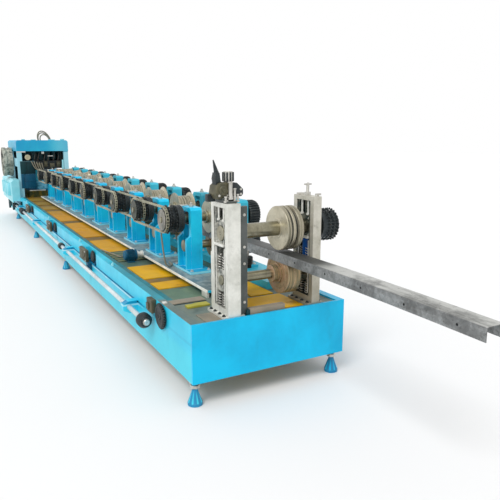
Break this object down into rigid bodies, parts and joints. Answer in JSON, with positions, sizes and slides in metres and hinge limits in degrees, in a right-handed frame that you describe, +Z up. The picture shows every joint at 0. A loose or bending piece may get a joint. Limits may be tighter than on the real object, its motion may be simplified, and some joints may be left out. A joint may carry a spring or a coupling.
{
  "type": "roll forming machine",
  "caption": "Roll forming line: box bed with levelling feet, roll stands with chain driven shafts, bright exit stand, punching head and the steel channel in its rolls.",
  "frame": {"origin": "on the floor under the middle of the whole machine's box", "axes": "+X towards the exit end where the channel leaves, +Z up, -Y the near side with the chains and the line shaft"},
  "size_m": [12.76, 1.415, 1.9376],
  "materials": {
    "cyan_paint": "glossy machine enamel, sky blue",
    "blue_paint": "dark blue motor enamel",
    "yellow_paint": "mustard yellow enamel on sheet covers",
    "deck_steel": "grey green paint with dust and oil",
    "machined_frame": "machined and bright plated plate",
    "bright_steel": "ground round bar",
    "roll_steel": "turned roll steel, warm, oily",
    "chain_steel": "oiled roller chain",
    "oiled_black": "dark oiled cast iron and blackened gears",
    "galvanised_steel": "zinc coated strip, matt grey",
    "hose_rubber": "black hydraulic hose"
  },
  "bodies": {
    "machine_frame": {"bed_near_side": "cyan_paint", "bed_far_side": "cyan_paint", "bed_exit_plate": "cyan_paint", "bed_entry_plate": "cyan_paint", "deck_plate": "deck_steel", "cover_panels": "yellow_paint", "near_stands_exit_half": "cyan_paint", "near_stands_entry_half": "cyan_paint", "far_stands_exit_half": "cyan_paint", "far_stands_entry_half": "cyan_paint", "formed_channel": "galvanised_steel", "exit_near_housing": "machined_frame", "exit_far_housing": "machined_frame", "screw_down_gearbox": "oiled_black", "far_adjusting_screw": "bright_steel", "side_guide": "oiled_black", "adjusting_motor": "blue_paint", "motor_coupling": "machined_frame", "head_frame": "cyan_paint", "head_bolster": "cyan_paint", "head_ram": "oiled_black", "side_box": "cyan_paint", "drive_wheel": "oiled_black", "head_hose": "hose_rubber", "drive_chain_01": "chain_steel", "drive_chain_02": "chain_steel", "drive_chain_03": "chain_steel", "drive_chain_04": "chain_steel", "drive_chain_05": "chain_steel", "drive_chain_06": "chain_steel", "drive_chain_07": "chain_steel", "drive_chain_08": "chain_steel", "drive_chain_09": "chain_steel"},
    "exit_top_roll": {"exit_top_roll_shaft": "roll_steel"},
    "exit_bottom_roll": {"exit_bottom_roll_shaft": "roll_steel"},
    "top_roll_01": {"top_roll_shaft_01": "roll_steel"},
    "bottom_roll_01": {"bottom_roll_shaft_01": "roll_steel"},
    "top_roll_02": {"top_roll_shaft_02": "roll_steel"},
    "bottom_roll_02": {"bottom_roll_shaft_02": "roll_steel"},
    "top_roll_03": {"top_roll_shaft_03": "roll_steel"},
    "bottom_roll_03": {"bottom_roll_shaft_03": "roll_steel"},
    "top_roll_04": {"top_roll_shaft_04": "roll_steel"},
    "bottom_roll_04": {"bottom_roll_shaft_04": "roll_steel"},
    "top_roll_05": {"top_roll_shaft_05": "roll_steel"},
    "bottom_roll_05": {"bottom_roll_shaft_05": "roll_steel"},
    "top_roll_06": {"top_roll_shaft_06": "roll_steel"},
    "bottom_roll_06": {"bottom_roll_shaft_06": "roll_steel"},
    "top_roll_07": {"top_roll_shaft_07": "roll_steel"},
    "bottom_roll_07": {"bottom_roll_shaft_07": "roll_steel"},
    "top_roll_08": {"top_roll_shaft_08": "roll_steel"},
    "bottom_roll_08": {"bottom_roll_shaft_08": "roll_steel"},
    "top_roll_09": {"top_roll_shaft_09": "roll_steel"},
    "bottom_roll_09": {"bottom_roll_shaft_09": "roll_steel"},
    "top_roll_10": {"top_roll_shaft_10": "roll_steel"},
    "bottom_roll_10": {"bottom_roll_shaft_10": "roll_steel"},
    "line_shaft": {"line_shaft": "bright_steel"},
    "cross_gear_1": {"cross_gear_1": "oiled_black"},
    "cross_gear_2": {"cross_gear_2": "oiled_black"},
    "cross_gear_3": {"cross_gear_3": "oiled_black"},
    "cross_gear_4": {"cross_gear_4": "oiled_black"}
  },
  "joints": [
    {"name": "exit_top_roll_spin", "type": "hinge", "parent": "machine_frame", "child": "exit_top_roll", "pos_m": [4.6775, -0.4975, 1.115], "axis": [0, 1, 0], "continuous": true},
    {"name": "exit_bottom_roll_spin", "type": "hinge", "parent": "machine_frame", "child": "exit_bottom_roll", "pos_m": [4.6775, -0.4975, 0.8], "axis": [0, 1, 0], "continuous": true},
    {"name": "top_roll_01_spin", "type": "hinge", "parent": "machine_frame", "child": "top_roll_01", "pos_m": [3.575, -0.4975, 1.065], "axis": [0, 1, 0], "continuous": true},
    {"name": "bottom_roll_01_spin", "type": "hinge", "parent": "machine_frame", "child": "bottom_roll_01", "pos_m": [3.575, -0.4975, 0.83], "axis": [0, 1, 0], "continuous": true},
    {"name": "top_roll_02_spin", "type": "hinge", "parent": "machine_frame", "child": "top_roll_02", "pos_m": [2.805, -0.4975, 1.065], "axis": [0, 1, 0], "continuous": true},
    {"name": "bottom_roll_02_spin", "type": "hinge", "parent": "machine_frame", "child": "bottom_roll_02", "pos_m": [2.805, -0.4975, 0.83], "axis": [0, 1, 0], "continuous": true},
    {"name": "top_roll_03_spin", "type": "hinge", "parent": "machine_frame", "child": "top_roll_03", "pos_m": [2.035, -0.4975, 1.065], "axis": [0, 1, 0], "continuous": true},
    {"name": "bottom_roll_03_spin", "type": "hinge", "parent": "machine_frame", "child": "bottom_roll_03", "pos_m": [2.035, -0.4975, 0.83], "axis": [0, 1, 0], "continuous": true},
    {"name": "top_roll_04_spin", "type": "hinge", "parent": "machine_frame", "child": "top_roll_04", "pos_m": [1.265, -0.4975, 1.065], "axis": [0, 1, 0], "continuous": true},
    {"name": "bottom_roll_04_spin", "type": "hinge", "parent": "machine_frame", "child": "bottom_roll_04", "pos_m": [1.265, -0.4975, 0.83], "axis": [0, 1, 0], "continuous": true},
    {"name": "top_roll_05_spin", "type": "hinge", "parent": "machine_frame", "child": "top_roll_05", "pos_m": [0.495, -0.4975, 1.065], "axis": [0, 1, 0], "continuous": true},
    {"name": "bottom_roll_05_spin", "type": "hinge", "parent": "machine_frame", "child": "bottom_roll_05", "pos_m": [0.495, -0.4975, 0.83], "axis": [0, 1, 0], "continuous": true},
    {"name": "top_roll_06_spin", "type": "hinge", "parent": "machine_frame", "child": "top_roll_06", "pos_m": [-0.275, -0.4975, 1.065], "axis": [0, 1, 0], "continuous": true},
    {"name": "bottom_roll_06_spin", "type": "hinge", "parent": "machine_frame", "child": "bottom_roll_06", "pos_m": [-0.275, -0.4975, 0.83], "axis": [0, 1, 0], "continuous": true},
    {"name": "top_roll_07_spin", "type": "hinge", "parent": "machine_frame", "child": "top_roll_07", "pos_m": [-1.045, -0.4975, 1.065], "axis": [0, 1, 0], "continuous": true},
    {"name": "bottom_roll_07_spin", "type": "hinge", "parent": "machine_frame", "child": "bottom_roll_07", "pos_m": [-1.045, -0.4975, 0.83], "axis": [0, 1, 0], "continuous": true},
    {"name": "top_roll_08_spin", "type": "hinge", "parent": "machine_frame", "child": "top_roll_08", "pos_m": [-1.815, -0.4975, 1.065], "axis": [0, 1, 0], "continuous": true},
    {"name": "bottom_roll_08_spin", "type": "hinge", "parent": "machine_frame", "child": "bottom_roll_08", "pos_m": [-1.815, -0.4975, 0.83], "axis": [0, 1, 0], "continuous": true},
    {"name": "top_roll_09_spin", "type": "hinge", "parent": "machine_frame", "child": "top_roll_09", "pos_m": [-2.585, -0.4975, 1.065], "axis": [0, 1, 0], "continuous": true},
    {"name": "bottom_roll_09_spin", "type": "hinge", "parent": "machine_frame", "child": "bottom_roll_09", "pos_m": [-2.585, -0.4975, 0.83], "axis": [0, 1, 0], "continuous": true},
    {"name": "top_roll_10_spin", "type": "hinge", "parent": "machine_frame", "child": "top_roll_10", "pos_m": [-3.355, -0.4975, 1.065], "axis": [0, 1, 0], "continuous": true},
    {"name": "bottom_roll_10_spin", "type": "hinge", "parent": "machine_frame", "child": "bottom_roll_10", "pos_m": [-3.355, -0.4975, 0.83], "axis": [0, 1, 0], "continuous": true},
    {"name": "line_shaft_spin", "type": "hinge", "parent": "machine_frame", "child": "line_shaft", "pos_m": [4.82, -0.5675, 0.4], "axis": [1, 0, 0], "continuous": true},
    {"name": "cross_gear_1_spin", "type": "hinge", "parent": "machine_frame", "child": "cross_gear_1", "pos_m": [4.29, -0.5285, 0.485], "axis": [0, 1, 0], "continuous": true},
    {"name": "cross_gear_2_spin", "type": "hinge", "parent": "machine_frame", "child": "cross_gear_2", "pos_m": [2.09, -0.4915, 0.502], "axis": [0, 1, 0], "continuous": true},
    {"name": "cross_gear_3_spin", "type": "hinge", "parent": "machine_frame", "child": "cross_gear_3", "pos_m": [-0.23, -0.4915, 0.502], "axis": [0, 1, 0], "continuous": true},
    {"name": "cross_gear_4_spin", "type": "hinge", "parent": "machine_frame", "child": "cross_gear_4", "pos_m": [-2.605, -0.4915, 0.502], "axis": [0, 1, 0], "continuous": true}
  ],
  "couplings": [
    {"joint": "exit_bottom_roll_spin", "follows": "exit_top_roll_spin", "ratio": -1},
    {"joint": "top_roll_01_spin", "follows": "exit_top_roll_spin", "ratio": 1.3909},
    {"joint": "bottom_roll_01_spin", "follows": "exit_top_roll_spin", "ratio": -1.3909},
    {"joint": "top_roll_02_spin", "follows": "exit_top_roll_spin", "ratio": 1.3909},
    {"joint": "bottom_roll_02_spin", "follows": "exit_top_roll_spin", "ratio": -1.3909},
    {"joint": "top_roll_03_spin", "follows": "exit_top_roll_spin", "ratio": 1.3909},
    {"joint": "bottom_roll_03_spin", "follows": "exit_top_roll_spin", "ratio": -1.3909},
    {"joint": "top_roll_04_spin", "follows": "exit_top_roll_spin", "ratio": 1.3909},
    {"joint": "bottom_roll_04_spin", "follows": "exit_top_roll_spin", "ratio": -1.3909},
    {"joint": "top_roll_05_spin", "follows": "exit_top_roll_spin", "ratio": 1.3909},
    {"joint": "bottom_roll_05_spin", "follows": "exit_top_roll_spin", "ratio": -1.3909},
    {"joint": "top_roll_06_spin", "follows": "exit_top_roll_spin", "ratio": 1.3909},
    {"joint": "bottom_roll_06_spin", "follows": "exit_top_roll_spin", "ratio": -1.3909},
    {"joint": "top_roll_07_spin", "follows": "exit_top_roll_spin", "ratio": 1.3909},
    {"joint": "bottom_roll_07_spin", "follows": "exit_top_roll_spin", "ratio": -1.3909},
    {"joint": "top_roll_08_spin", "follows": "exit_top_roll_spin", "ratio": 1.3909},
    {"joint": "bottom_roll_08_spin", "follows": "exit_top_roll_spin", "ratio": -1.3909},
    {"joint": "top_roll_09_spin", "follows": "exit_top_roll_spin", "ratio": 1.3909},
    {"joint": "bottom_roll_09_spin", "follows": "exit_top_roll_spin", "ratio": -1.3909},
    {"joint": "top_roll_10_spin", "follows": "exit_top_roll_spin", "ratio": 1.3909},
    {"joint": "bottom_roll_10_spin", "follows": "exit_top_roll_spin", "ratio": -1.3909},
    {"joint": "cross_gear_1_spin", "follows": "line_shaft_spin", "ratio": 0.6667},
    {"joint": "cross_gear_2_spin", "follows": "line_shaft_spin", "ratio": 1},
    {"joint": "cross_gear_3_spin", "follows": "line_shaft_spin", "ratio": 1},
    {"joint": "cross_gear_4_spin", "follows": "line_shaft_spin", "ratio": 1}
  ]
}
